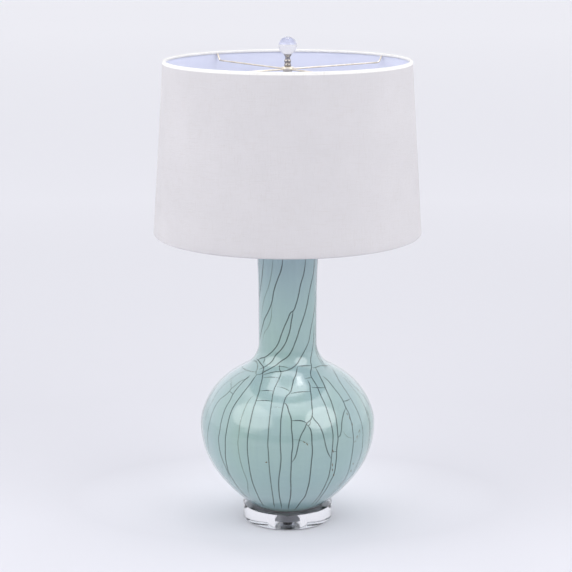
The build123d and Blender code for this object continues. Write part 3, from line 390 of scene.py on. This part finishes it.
# Crackle: cracks that opened in the glaze as it cooled, rubbed with dark stain. The front ones run where
# the photograph shows them, laid on the vase along the camera's line of sight; the back ones wander.
front_cracks = (
    (1.0, (263.6, 258), (262.6, 271), (261.5, 281), (260.3, 290), (259.3, 300)),
    (0.5, (273, 258), (270.9, 276.7), (268.2, 287.5), (264.6, 297.8), (262.7, 306.5), (261.5, 318)),
    (1.0, (283, 257), (281.2, 269.6), (277.6, 279.4), (273.9, 290.8), (271.7, 302.7), (268.4, 311.4),
     (264.6, 319), (262.7, 325.5), (261.1, 332.5), (260, 339.6)),
    (0.5, (272, 304), (270.9, 319), (268.4, 326.6), (264.1, 333.6), (262.6, 341)),
    (1.0, (306, 257), (303.9, 272.9), (300.4, 285.4), (298.8, 294), (295.8, 304.9), (293.1, 311.1),
     (290.9, 312.5), (287.9, 319), (284.7, 326), (281.2, 335), (278.6, 342.5), (275.2, 348.2),
     (270.9, 352.8), (264.9, 357.1), (259.7, 358.8), (257.6, 360.5)),
    (1.0, (293.1, 311.1), (292.3, 316.3), (291.2, 322.2), (289.8, 330.9), (288, 336.5), (285.2, 343.6),
     (280.4, 350.5), (275.8, 355.1), (271.8, 361.4), (267.7, 364.9), (263.7, 367.4), (259.1, 369.4)),
    (1.0, (315, 257), (313.2, 274), (310.7, 285.4), (308.8, 295.1), (306.6, 306.5), (303.1, 319),
     (299.3, 329.8), (297.3, 336.5), (294.7, 343.6), (291.6, 350.9), (287.8, 356.5), (280.4, 361.7),
     (275.8, 365.4), (268.9, 369.4), (264.3, 371.7), (262, 373.5), (256.5, 375)),
    (0.9, (315.6, 290), (314.8, 305.4), (313.7, 313.5), (312.3, 321.7), (311, 328.2), (310, 335),
     (308.8, 341.1), (305.1, 349.7), (301.4, 356.4), (296.5, 364.4), (291, 368.7), (286.7, 370.5),
     (281.5, 371.5), (274.6, 371.9), (267.7, 373.5), (263, 374.8)),
    (0.9, (314.2, 326), (313.7, 335), (313.4, 342.3), (312.1, 350.9), (310.6, 360.7), (311.5, 366.8),
     (310.6, 371.7), (311.2, 376.6), (313.1, 379.7), (316.7, 385.8), (320.6, 395), (326, 407),
     (328.7, 416), (331.4, 425), (332.9, 433.4), (332.9, 441.8), (332.2, 450), (331.4, 458.4),
     (330.3, 468.5), (328.3, 477.5), (325, 485.4), (320.5, 493.8), (315.4, 500.5), (310.4, 505.6)),
    (0.9, (264.9, 357.4), (264.3, 360.8), (263.1, 363.1)),
    (1.0, (256.3, 358.5), (259.1, 361.4), (261.7, 364.9), (263.4, 367.1), (262.9, 371.7), (262, 374)),
    (0.7, (251.1, 361.4), (255.7, 361.2), (257.4, 363.7), (257.4, 368.3), (256, 372.3), (256.5, 375)),
    (0.6, (242.2, 366), (243.1, 368.3), (247.1, 370.3), (251.7, 371.5), (256, 371.9)),
    (1.0, (256.5, 375), (253.4, 379.2), (249.4, 384.9), (245.3, 390.1), (241.3, 395.3), (238.5, 399.1),
     (233.2, 407.3), (230, 415), (227.9, 423.2), (226.2, 432.6), (225.3, 439.6), (225.3, 447.8),
     (225.5, 457.2), (227.2, 466.6), (229.4, 473.9), (232.7, 479.4), (238.3, 487.7), (243.8, 493.8),
     (247.6, 497.6)),
    (0.9, (249.9, 375.2), (247.1, 377.8), (240.2, 384.9), (236.7, 389), (233, 394.1), (230, 400.3),
     (226.2, 406.7), (223.2, 414.4), (220.9, 423.2), (219.7, 431.4), (218.5, 438.4), (219.1, 445.5),
     (220.3, 452.5), (222.6, 460), (226.6, 469.4), (230, 478.3)),
    (0.8, (249.9, 376.6), (246.5, 378.6), (240.2, 381.5), (234.4, 386.1), (231.3, 388.7), (229.6, 391),
     (225.6, 395), (220.3, 399.1), (215.6, 405.6), (211.8, 414.4), (209.4, 423.2), (207.9, 431.4),
     (207.6, 439.6), (208.2, 445.5), (209.4, 452.5)),
    (0.9, (229.6, 391.3), (233, 394.1)),
    (0.5, (231.3, 378.6), (231, 384.4), (231.6, 388.4)),
    (0.5, (245.3, 371.2), (240.2, 372.9), (234.4, 376.3), (231.3, 378.6), (226.4, 382.6), (220.1, 389),
     (215.2, 395.9), (212.3, 401), (208.6, 408.5), (206.3, 415.5), (205, 423.2)),
    (0.9, (262.9, 372), (262.6, 376), (262, 379.8), (260.3, 386.1), (259.4, 390.7), (257.9, 395.3),
     (256.1, 400.9), (253.2, 409.1), (251.1, 418.5), (249.1, 427.9), (247.9, 436.1), (247.3, 445.5),
     (247.5, 451), (248.6, 462.2), (250.5, 473.9), (252.2, 481.1), (254.9, 488.8), (258.3, 496.6),
     (262.2, 503.8), (264.7, 506.6)),
    (0.8, (279.8, 364.9), (279.5, 369.4), (280.9, 371.7), (280.1, 376.3), (277.5, 382.1), (275.2, 386.7),
     (273.5, 391.5), (272.5, 395.9), (271.8, 401.5), (270.8, 408.5), (269.6, 418.5), (268.7, 427.9),
     (268.1, 437.3), (267.8, 445.5), (268.3, 451), (268.8, 461.1), (269.7, 472.2), (271, 483.3),
     (272.4, 493.3), (273.8, 503.3), (274.6, 508.3)),
    (0.8, (263.7, 377.5), (271.2, 377.2), (279.2, 377.8)),
    (0.9, (260, 391), (266.6, 390.4), (273.5, 391)),
    (0.6, (277.5, 366.3), (283.2, 366.6), (290, 368.6)),
    (0.3, (275.2, 386.7), (281.5, 387.2), (286.1, 389), (290.4, 391.6)),
    (0.9, (297.5, 366.5), (296.5, 371.7), (295.9, 374.8), (293.5, 380.3), (292.2, 386.4), (290.4, 392),
     (286.7, 396.2), (284.6, 400.3), (283.4, 405), (282.2, 411.4), (280.7, 421.4), (280.5, 430.2),
     (280.2, 439.6), (280.5, 449), (281, 458.3), (280.2, 468.3), (278.8, 478.9), (278.8, 488.8),
     (279.6, 497.2), (281, 503.8), (281.6, 508.8)),
    (1.0, (297.5, 366.2), (303.3, 365.9), (311.2, 365.6)),
    (0.7, (312, 368.1), (315.5, 367.5), (319.8, 365.9), (325.3, 365.6), (330.8, 365.9)),
    (1.0, (315.5, 367.5), (318, 372.4), (320.4, 377.3), (322.9, 382.2), (325.3, 387.7), (328.4, 395),
     (331.4, 402.2), (333.8, 410), (335.9, 417.8), (337.1, 426.2), (337.7, 433.4), (338, 440),
     (336.8, 447.8), (336.5, 456.7), (335.6, 465.2), (333.9, 474.1), (330, 482), (326.1, 489.3),
     (322.2, 494.9), (317.7, 501.1), (313.2, 506.1)),
    (0.9, (322.3, 376), (326.5, 379.1), (331.4, 384.6), (335.1, 389.5), (339.5, 395), (343.4, 401.6),
     (345.8, 407.6), (348.7, 413), (349.9, 417.2), (351.7, 423.8), (352.9, 432.2), (353.5, 440.6),
     (352.7, 449), (350.8, 461.2), (348.5, 471.3), (344.6, 479.2), (340.1, 484.8), (334.5, 490.4),
     (328.9, 496.6)),
    (0.8, (331.4, 367.5), (335.7, 374.2), (338.8, 380.3), (342.5, 385.8), (346.1, 391.3), (350.5, 398.3),
     (354.7, 405.8), (358.9, 414.8), (361.3, 422.6), (362.8, 430.4), (362.8, 440), (361.8, 450),
     (359.2, 459.5), (355.8, 467.4), (351.9, 475.3), (347.4, 481.4)),
    (0.6, (341.2, 375.1), (346.1, 380.3), (352.3, 387.7), (358.3, 395.3), (363.7, 404.6), (367.6, 412.4),
     (370, 420.8), (371, 428.6), (371.2, 435.8)),
    (0.4, (335.1, 366.8), (343.7, 374.8), (350.4, 382.3), (358, 391)),
    (1.0, (290.7, 393.5), (300.2, 392), (310, 391.6)),
    (0.9, (307.6, 380), (309.7, 384.6), (310.3, 390.1), (311.2, 396), (311.7, 404), (312.2, 415.4),
     (310.7, 419.6), (306.8, 423.5), (304.7, 428.6), (301.4, 434.6), (299.3, 440.6), (297.5, 448.8),
     (294.9, 457.9), (292, 462.1)),
    (0.8, (305.1, 378.8), (308.8, 377.9), (311.3, 377.3)),
    (1.0, (311.5, 387.4), (317.4, 387.7), (325.3, 387.7)),
    (0.4, (280, 387), (285.5, 388.9), (290.4, 392.4)),
    (0.9, (256.1, 400.9), (263.7, 400.4), (271.8, 401.2)),
    (0.3, (271, 406.7), (276, 407), (282.6, 407.9)),
    (1.0, (284.3, 402.8), (286.4, 404.6), (288.8, 411.8), (291.2, 419), (291.5, 428.6), (292.4, 437),
     (292.7, 446), (291.7, 454), (291.3, 463.9), (290.7, 477.7), (290.9, 488.8), (290.4, 497.2),
     (289.1, 503.3), (288.2, 509.2)),
    (1.0, (291.6, 420.8), (297.2, 420.5), (302.6, 421.1), (306.8, 423.2)),
    (0.7, (310.4, 420.2), (310.1, 423.8), (308, 425.6), (306.5, 423.5)),
    (1.0, (308, 425.6), (310.4, 429.2), (311.6, 434.6), (311.9, 441.8), (312.4, 451), (311.5, 461.2),
     (310.4, 472.4), (309.3, 481.4), (307, 490.4), (304.8, 496.6), (300.3, 502.2), (296.9, 507.2),
     (294.1, 510.2)),
    (0.9, (312.2, 415.4), (314, 419), (319.4, 425.6), (322.4, 432.2), (324.2, 438.8), (326, 446.6),
     (328.4, 453.8), (331, 458.4)),
    (0.9, (345.8, 407.6), (343.4, 414.2), (341.9, 422), (341.3, 429.8), (339.8, 435.8), (338, 437.4)),
    (0.8, (332.4, 451.7), (336.5, 451.4)),
    (0.8, (343.4, 401.3), (346.4, 400.7), (350.4, 398.6)),
    (0.4, (342.8, 431), (347, 436.4), (353, 438.4)),
    (0.3, (361.3, 427.4), (358.9, 436.4), (355.9, 441.8)),
    (0.3, (292.7, 439.4), (300.2, 440.3), (305.6, 442.4), (311.6, 444.4)),
    (0.5, (253.2, 395), (247.9, 402), (244.4, 409.7), (241.7, 417.3), (239.7, 425.5), (238.8, 434.9),
     (237.9, 443.1), (238.6, 451), (240.5, 461.1), (243.8, 472.2), (247.2, 481.1), (248, 490),
     (249.9, 496.1)),
)
photo_middle = 286
photo_focus = 1690.8
crack_width = 0.0026
crack_lift, edge_lift = 0.00006, 0.000024
tip_width, tip_growth = 0.35, 0.12
thin_share, weight_share = 0.7, 0.35
glazed_points, glazed_faces = [], []
for node in ("ceramic_vase", "ceramic_neck"):
    first = len(glazed_points)
    glazed_points += [vertex.co.copy() for vertex in nodes[node].data.vertices]
    glazed_faces += [[first + corner for corner in face.vertices] for face in nodes[node].data.polygons]
glazed = BVHTree.FromPolygons(glazed_points, glazed_faces)


def on_glaze(across, down):
    """The point of the vase seen at that place in the photograph, or None beside it."""
    sight = Vector((across - photo_middle, photo_middle - down, -photo_focus))
    sight.rotate(camera.rotation_euler)
    return glazed.ray_cast(camera.location, sight.normalized())[0]


def crack_line(points, weight):
    """A smooth line through the points, wider for more weight, read off a curve and pressed on the glaze."""
    bpy.ops.object.select_all(action="DESELECT")
    line = bpy.data.curves.new("crack", "CURVE")
    line.dimensions = "3D"
    line.resolution_u = 6
    run = line.splines.new("BEZIER")
    run.bezier_points.add(len(points) - 1)
    for bead, point in zip(run.bezier_points, points):
        bead.co = point
        bead.handle_left_type = bead.handle_right_type = "AUTO"
    drawn = bpy.data.objects.new("crack", line)
    path = bpy.data.meshes.new_from_object(drawn)
    dots = [v.co.copy() for v in path.vertices]
    bpy.data.objects.remove(drawn)
    bpy.data.meshes.remove(path)
    bpy.data.curves.remove(line)
    strip = []
    for number, dot in enumerate(dots):
        place, normal = glazed.find_nearest(dot)[:2]
        ahead = dots[min(number + 1, len(dots) - 1)] - dots[max(number - 1, 0)]
        side = normal.cross(ahead).normalized()
        taper = min(1, tip_width + tip_growth * min(number, len(dots) - 1 - number))
        half = crack_width / 2 * taper * (thin_share + weight_share * weight)
        edge = place + normal * edge_lift
        strip.append((edge - side * half, place + normal * crack_lift, edge + side * half))
    return strip


cracks = []
for darkness, *pixels in front_cracks:
    places = [on_glaze(*pixel) for pixel in pixels]
    places = [place for place in places if place is not None]
    if len(places) > 1:
        cracks.append((darkness, crack_line(places, darkness)))

# Brown flecks where stain lodged in pits beside the cracks. A darkness over 1 gives them their tone.
blemishes = (
    (1.0, (266.6, 461.4), (266.9, 463)), (0.9, (265.4, 462.6), (266.4, 462)),
    (1.0, (353, 463), (353.2, 464.4)), (0.9, (350.8, 470), (351.2, 472)),
    (1.0, (333.6, 473.6), (334, 476)), (0.8, (340, 484.6), (339.6, 485.8)),
    (0.7, (332.4, 463.5), (332.3, 466.4)), (0.6, (332.2, 468.6), (332.6, 471.2)),
    (0.7, (303.4, 441.6), (305, 442.8)), (0.8, (306.2, 443), (308, 445.4)),
    (0.6, (346.6, 412.6), (347.8, 415.2)), (0.7, (349.2, 417.4), (350.6, 420)),
    (0.5, (351.8, 422.6), (352.6, 425.4)), (0.6, (359.6, 429.6), (358.6, 432.6)),
    (0.6, (357.6, 435.4), (356.6, 438)), (0.5, (355.4, 440.6), (354.6, 442.4)),
    (0.5, (332.6, 449.6), (333.4, 452.6)), (0.4, (263.4, 372), (266, 371)),
)
fleck_weight = 1.2
for darkness, *pixels in blemishes:
    cracks.append((darkness + 1, crack_line([on_glaze(*pixel) for pixel in pixels], fleck_weight)))

wander = random.Random(31)
foot_height, shoulder_top, neck_start, lip_height = 0.034, 0.262, 0.27, 0.488
outside_radius = 0.4
belly_from, belly_to = math.radians(78), math.radians(284)
neck_from, neck_to, neck_front = math.radians(80), math.radians(300), math.radians(68)
belly_steps, neck_steps = 11, 9
line_weight, rung_weight = 0.9, 0.8


def glaze_point(turn, height):
    """The outside of the vase in that direction, seen level from far off."""
    away = Vector((math.sin(turn), -math.cos(turn), 0))
    return glazed.ray_cast(away * outside_radius + Vector((0, 0, height)), -away)[0]


def draw_back_crack(course, darkness, weight):
    """Adds a crack that runs through those turns and heights."""
    cracks.append((darkness, crack_line([glaze_point(*spot) for spot in course], weight)))


lines_round = []
turn = belly_from
while turn < belly_to:
    lean = wander.uniform(-0.13, 0.13)
    bow = wander.uniform(-0.12, 0.12)
    start, end = foot_height + wander.uniform(0, 0.02), shoulder_top - wander.uniform(0, 0.07)
    course = []
    for step in range(belly_steps):
        share = step / (belly_steps - 1)
        height = start + (end - start) * share
        drift_round = lean * share + bow * math.sin(math.pi * share) + wander.uniform(-0.012, 0.012)
        course.append((turn + drift_round, height))
    lines_round.append(course)
    draw_back_crack(course, wander.uniform(0.6, 1.0), line_weight)
    turn += wander.uniform(0.085, 0.2)
for left, right in zip(lines_round, lines_round[1:]):
    for rung in range(wander.choice((1, 2, 2, 3))):
        share = wander.uniform(0.35, 0.98)
        spot = int(share * (belly_steps - 2))
        start, end = left[spot], right[spot]
        middle = ((start[0] + end[0]) / 2, (start[1] + end[1]) / 2 + wander.uniform(-0.004, 0.004))
        draw_back_crack((start, middle, end), wander.uniform(0.5, 1), rung_weight)
turn = neck_from
while turn < neck_to:
    sweep_round = min(wander.uniform(0.5, 1.1), turn - neck_front)
    course = []
    for step in range(neck_steps):
        share = step / (neck_steps - 1)
        height = lip_height - (lip_height - neck_start) * share
        course.append((turn - sweep_round * share**1.6 + wander.uniform(-0.02, 0.02), height))
    draw_back_crack(course, wander.uniform(0.5, 1), line_weight)
    turn += wander.uniform(0.28, 0.6)

corners, faces, shares, darks = [], [], [], []
for darkness, strip in cracks:
    first = len(corners)
    for row in strip:
        corners += row
        shares += (0.0, 0.5, 1.0)
        darks += (darkness,) * 3
    for number in range(len(strip) - 1):
        low = first + 3 * number
        faces += ((low, low + 1, low + 4, low + 3), (low + 1, low + 2, low + 5, low + 4))
crackle_mesh = bpy.data.meshes.new("vase_crackle")
crackle_mesh.from_pydata(corners, [], faces)
across = crackle_mesh.attributes.new("across", "FLOAT", "POINT")
across.data.foreach_set("value", shares)
stain_depth = crackle_mesh.attributes.new("stain", "FLOAT", "POINT")
stain_depth.data.foreach_set("value", darks)
crackle = bpy.data.objects.new("vase_crackle", crackle_mesh)
bpy.context.collection.objects.link(crackle)
bpy.ops.object.select_all(action="DESELECT")
crackle.select_set(True)
bpy.context.view_layer.objects.active = crackle
bpy.ops.object.mode_set(mode="EDIT")
bpy.ops.mesh.select_all(action="SELECT")
bpy.ops.mesh.normals_make_consistent(inside=False)
bpy.ops.object.mode_set(mode="OBJECT")
bpy.ops.object.shade_smooth()
crackle_stain = new_finish("crackle_stain", Roughness=0.14, IOR=1.56)
stain_share = add_node(crackle_stain, "ShaderNodeAttribute", attribute_name="stain").outputs["Fac"]
over = add_node(crackle_stain, "ShaderNodeAttribute", attribute_name="across").outputs["Fac"]
stain_patches = spread(crackle_stain, patches(crackle_stain, 0.02, 3), 0, 1)
line_tone = two_tone(crackle_stain, stain_patches, tone(56, 72, 73), tone(74, 86, 80))
well_stained = spread(crackle_stain, stain_share, 0, 1, 0.25, 0.9)
line_tone = two_tone(crackle_stain, well_stained, tone(112, 124, 98), line_tone)
fleck = spread(crackle_stain, stain_share, 0, 1, 1.1, 1.4)
line_tone = two_tone(crackle_stain, fleck, line_tone, tone(104, 88, 58))
middle = add_node(crackle_stain, "ShaderNodeMath", {0: over}, operation="SUBTRACT")
middle.inputs[1].default_value = 0.5
off_middle = add_node(crackle_stain, "ShaderNodeMath", {0: middle.outputs[0]}, operation="ABSOLUTE")
edge_fade = spread(crackle_stain, off_middle.outputs[0], 0.75, 0.0, 0.1, 0.5)
strength = add_node(crackle_stain, "ShaderNodeMath", {0: edge_fade, 1: stain_share}, operation="MULTIPLY")
dress(crackle_stain, Base_Color=line_tone, Alpha=strength.outputs[0])
crackle_mesh.materials.append(crackle_stain)
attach(crackle, "root")


# Cap: the pressed centring ring is hidden in the mouth. The spun cap on the lip, the turned spool
# and the hex nut over it are nickel plated.
nickel = metal("satin_nickel", tone(196, 192, 186), tone(168, 163, 156), 0.24, 0.0009)
for node in ("neck_centering_ring", "vase_cap", "neck_spacer", "cap_lock_nut"):
    refinish(node, nickel)


# Harp saddle: a nickel-plated steel strip bent up at both ends and clamped on the pipe under the
# socket. The harp's feet stand on its two posts.
refinish("harp_saddle", metal("saddle_nickel", tone(194, 191, 186), tone(160, 155, 150), 0.28, 0.001, False))


# Socket: a brass cap and shell with a card liner in it, on a black phenolic switch body with two
# brass terminal screws. Only the cap and shell show, under the shade.
brass = metal("socket_brass", tone(196, 168, 108), tone(158, 128, 78), 0.26, 0.0009)
refinish("socket_cap", brass)
refinish("socket_shell", brass)
refinish("socket_set_screw", metal("screw_brass", tone(190, 160, 100), tone(140, 112, 66), 0.3, 0.0006))
refinish("terminal_screws", metal("terminal_brass", tone(204, 176, 112), tone(150, 120, 70), 0.3, 0.0006))
card = new_finish("liner_card", Roughness=0.9, Specular_IOR_Level=0.2)
fibre = patches(card, 0.0012, 5, stretch=(1, 1, 0.3))
card_tone = two_tone(card, spread(card, fibre, 0, 1), tone(118, 96, 70), tone(158, 134, 102))
dress(card, Base_Color=card_tone, Normal=bumps(card, fibre, 0.00012))
refinish("socket_liner", card)
phenolic = moulded("black_phenolic", tone(22, 20, 20), tone(38, 34, 32), 0.3, 0.0007)
refinish("switch_body", phenolic)
refinish("thread_shell", metal("thread_brass", tone(208, 184, 120), tone(166, 138, 84), 0.24, 0.0008))
refinish("centre_contact", metal("contact_brass", tone(206, 180, 116), tone(150, 122, 72), 0.3, 0.0006))
refinish("switch_shaft", metal("shaft_brass", tone(196, 168, 108), tone(140, 112, 66), 0.3, 0.0005))
refinish("switch_knob", moulded("knob_phenolic", tone(26, 24, 24), tone(44, 40, 38), 0.28, 0.0004))


# Bulb: a frosted glass globe cemented in an aluminium screw base, with a black glass insulator and
# a blob of solder for its contact.
solder = metal("solder", tone(170, 172, 176), tone(120, 120, 122), 0.35, 0.001)
refinish("bulb_contact", solder)
black_glass = new_finish("insulator_glass", IOR=1.52)
swirl = patches(black_glass, 0.004, 3)
black_tone = two_tone(black_glass, spread(black_glass, swirl, 0, 1), tone(20, 16, 26), tone(38, 30, 44))
dress(black_glass, Base_Color=black_tone, Roughness=spread(black_glass, swirl, 0.08, 0.2))
refinish("bulb_insulator", black_glass)
refinish("bulb_base", metal("base_aluminium", tone(196, 198, 202), tone(160, 162, 166), 0.26, 0.0008))
frost = new_finish("frosted_glass", Transmission_Weight=0.2, IOR=1.5)
silk = patches(frost, 0.016, 4)
dress(
    frost,
    Base_Color=two_tone(frost, spread(frost, silk, 0, 1), tone(238, 239, 240), tone(246, 246, 245)),
    Roughness=spread(frost, silk, 0.32, 0.46),
    Normal=bumps(frost, patches(frost, 0.0007, 2), 0.00001),
)
refinish("bulb_glass", frost)


# Harp: one nickel-plated wire bent to a loop over the bulb, two sleeves that slide down and lock its
# feet, and the stud that swivels in its top eye and carries the shade.
wire_nickel = metal("wire_nickel", tone(196, 192, 184), tone(166, 160, 150), 0.25, 0.0009, False)
for node in ("harp", "harp_sleeve_front", "harp_sleeve_back", "harp_stud"):
    refinish(node, wire_nickel)


# Spider: a warm plated hub with four wires welded to it, which turn up to the top ring. The bottom ring
# is a plain hoop of steel wire in the lower hem.
refinish("spider_fitter", metal("spider_nickel", tone(240, 232, 216), tone(214, 204, 184), 0.3, 0.0009))
refinish("bottom_ring", metal("ring_steel", tone(186, 184, 180), tone(150, 146, 140), 0.32, 0.0009))


# Liner: stiff white styrene sheet, rolled to the drum inside the ring wires. It stiffens the linen
# and throws the bulb's light back. Its white is painted pale lavender: a painted tint of the cool light,
# which shows on its inside above the rim.
# Painted light: the styrene's white is painted lavender and a little grey, as the cool light tints it.
styrene = new_finish("styrene_painted_lavender", Specular_IOR_Level=0.35)
sheet_mark = patches(styrene, 0.05, 4, stretch=(1, 1, 0.4))
dress(
    styrene,
    Base_Color=two_tone(
        styrene, spread(styrene, sheet_mark, 0, 1), tone(214, 217, 235), tone(219, 222, 239)
    ),
    Roughness=spread(styrene, sheet_mark, 0.42, 0.55),
    Normal=bumps(styrene, patches(styrene, 0.0012, 3), 0.00002),
)
refinish("shade_liner", styrene)


# Linen cover: one arc-shaped cut of slubbed natural-white linen, glued round the liner, lapped at
# the back and rolled over the ring wire at each edge.
shade_low, shade_high = 0.49800, 0.78375
shade_foot, shade_head = 0.22225, 0.20320
roll = 0.0026
cloth_thickness = 0.0006
round_steps = 384
lap_steps, lap_rise = 4, 0.00075
lap_ramp_steps = 3
climb_rows = 26
roll_rows = 10
roll_turn = math.radians(270)
wave_count = 14
ripple_rolled, ripple_flat, ripple_middle = 0.00003, 0.00002, 3
slant = math.hypot(shade_foot - shade_head, shade_high - shade_low)
cut_radius = shade_foot * slant / (shade_foot - shade_head)
cut_turn = (shade_foot - shade_head) / slant


def drum_radius(height):
    share = (height - shade_low) / (shade_high - shade_low)
    return shade_foot + (shade_head - shade_foot) * share


section = []
for edge, centre_height in ((-1, shade_low + roll), (1, shade_high - roll)):
    centre = drum_radius(centre_height) - roll
    arc = []
    for step in range(roll_rows + 1):
        bend = roll_turn * step / roll_rows
        arc.append((centre + roll * math.cos(bend), centre_height + edge * roll * math.sin(bend)))
    if edge < 0:
        section += reversed(arc)
        low_end = section[-1]
    else:
        for step in range(1, climb_rows):
            share = step / climb_rows
            section.append(tuple(low + (high - low) * share for low, high in zip(low_end, arc[0])))
        section += arc
along = [0.0]
for start, end in zip(section, section[1:]):
    along.append(along[-1] + math.dist(start, end))

cloth_rng = random.Random(11)
waves = [
    (cloth_rng.randint(3, 60), cloth_rng.uniform(0, 6.28), cloth_rng.uniform(0.2, 1))
    for _ in range(wave_count)
]
cloth_points, cloth_cut = [], []
cut_steps = round_steps + lap_steps
for row, (radius, height) in enumerate(section):
    in_roll = min(row, len(section) - 1 - row) < roll_rows
    for step in range(cut_steps + 1):
        turn = 2 * math.pi * step / round_steps - math.pi
        ripple_in = sum(size * math.sin(count * turn + shift) for count, shift, size in waves)
        give = -(ripple_rolled if in_roll else ripple_flat) * (ripple_in + ripple_middle)
        over_lap = min(1, max(0, (step - round_steps + lap_ramp_steps) / lap_ramp_steps))
        if row < roll_rows / 2 or row > len(section) - 1 - roll_rows / 2:
            over_lap = -over_lap
        out = radius + give + lap_rise * over_lap
        cloth_points.append((out * math.sin(turn), -out * math.cos(turn), height))
        reach_in, fan = cut_radius - along[row], turn * cut_turn
        cloth_cut.append((reach_in * math.sin(fan), reach_in * math.cos(fan) - cut_radius + slant))
cloth_faces = []
for row in range(len(section) - 1):
    for step in range(cut_steps):
        low, high = row * (cut_steps + 1) + step, (row + 1) * (cut_steps + 1) + step
        cloth_faces.append((low, low + 1, high + 1, high))
cloth_mesh = bpy.data.meshes.new("shade_cover")
cloth_mesh.from_pydata(cloth_points, [], cloth_faces)
threads = cloth_mesh.uv_layers.new(name="cut")
for loop in cloth_mesh.loops:
    threads.data[loop.index].uv = cloth_cut[loop.vertex_index]
cover = bpy.data.objects.new("shade_cover", cloth_mesh)
bpy.context.collection.objects.link(cover)
bpy.ops.object.select_all(action="DESELECT")
cover.select_set(True)
bpy.context.view_layer.objects.active = cover
bpy.ops.object.mode_set(mode="EDIT")
bpy.ops.mesh.select_all(action="SELECT")
bpy.ops.mesh.normals_make_consistent(inside=False)
bpy.ops.object.mode_set(mode="OBJECT")
solid = cover.modifiers.new("thickness", "SOLIDIFY")
solid.thickness = cloth_thickness
solid.offset = -1
bpy.ops.object.modifier_apply(modifier="thickness")
bpy.ops.object.shade_smooth()

linen = new_finish(
    "slub_linen", Roughness=0.92, Specular_IOR_Level=0.18, Sheen_Weight=0.12, Sheen_Roughness=0.5
)
wave_period = 0.314  # what a wave texture of scale 1 repeats over, in metres


def yarn(finish, pitch, lean):
    """Parallel threads of that pitch across the cloth, each a rounded ridge."""
    where = add_node(finish, "ShaderNodeTexCoord").outputs["UV"]
    laid = add_node(finish, "ShaderNodeMapping", {"Vector": where}, Rotation=(0, 0, lean))
    ridge = add_node(
        finish, "ShaderNodeTexWave", {"Vector": laid.outputs[0]},
        Scale=wave_period / pitch, Distortion=1.4, Detail=2.0, Detail_Scale=0.6,
    )
    return ridge.outputs["Fac"]


warp = yarn(linen, 0.00075, 0)
weft = yarn(linen, 0.00085, math.pi / 2)
weave = add_node(linen, "ShaderNodeMath", {0: warp, 1: weft}, operation="ADD").outputs[0]
slub_up = patches(linen, 0.0011, 2, stretch=(1, 0.06, 1), place="UV", seed=0.3)
slub_across = patches(linen, 0.0012, 2, stretch=(0.06, 1, 1), place="UV", seed=0.8)
clouds = patches(linen, 0.09, 3, place="UV", seed=0.5)
cloth_tone = two_tone(linen, spread(linen, clouds, 0, 1), tone(203, 201, 205), tone(207, 205, 209))
cloth_height = add_node(
    linen, "ShaderNodeSeparateXYZ", {"Vector": add_node(linen, "ShaderNodeTexCoord").outputs["Object"]}
).outputs["Z"]
# Painted light: the rolled top hem is painted near white, which lifts the shade on the rolled edge.
hem_start, hem_full = shade_high - 2.2 * roll, shade_high - 1.8 * roll
top_hem_painted_light = spread(linen, cloth_height, 0, 1, hem_start, hem_full)
cloth_tone = two_tone(linen, top_hem_painted_light, cloth_tone, tone(240, 239, 238))
for slub in (slub_up, slub_across):
    cloth_tone = two_tone(linen, spread(linen, slub, 0, 0.22, 0.55, 0.75), cloth_tone, tone(190, 184, 182))
cloth_tone = two_tone(linen, spread(linen, weave, 0.14, 0, 0.3, 1.2), cloth_tone, tone(164, 158, 156))
slubs = add_node(linen, "ShaderNodeMath", {0: slub_up, 1: slub_across}, operation="ADD").outputs[0]
slub_bump = bumps(linen, slubs, 0.00025)
dress(linen, Base_Color=cloth_tone, Normal=bumps(linen, weave, 0.0001, under=slub_bump))
cloth_mesh = cover.data
cloth_mesh.materials.append(linen)
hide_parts("shade_fabric")
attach(cover, "shade")


# Finial: a turned and plated stem that screws on the stud and holds the hub down, with a solid clear
# ball cemented in its cup.
refinish("finial_stem", metal("finial_nickel", tone(188, 184, 178), tone(140, 134, 128), 0.16, 0.0007))
crystal = new_finish("clear_ball", Base_Color=tone(250, 250, 253), Transmission_Weight=1.0, IOR=1.5)
dress(crystal, Roughness=spread(crystal, patches(crystal, 0.008, 3), 0.0, 0.012),
      Normal=bumps(crystal, patches(crystal, 0.004, 3), 0.000003))
refinish("finial_ball", crystal)
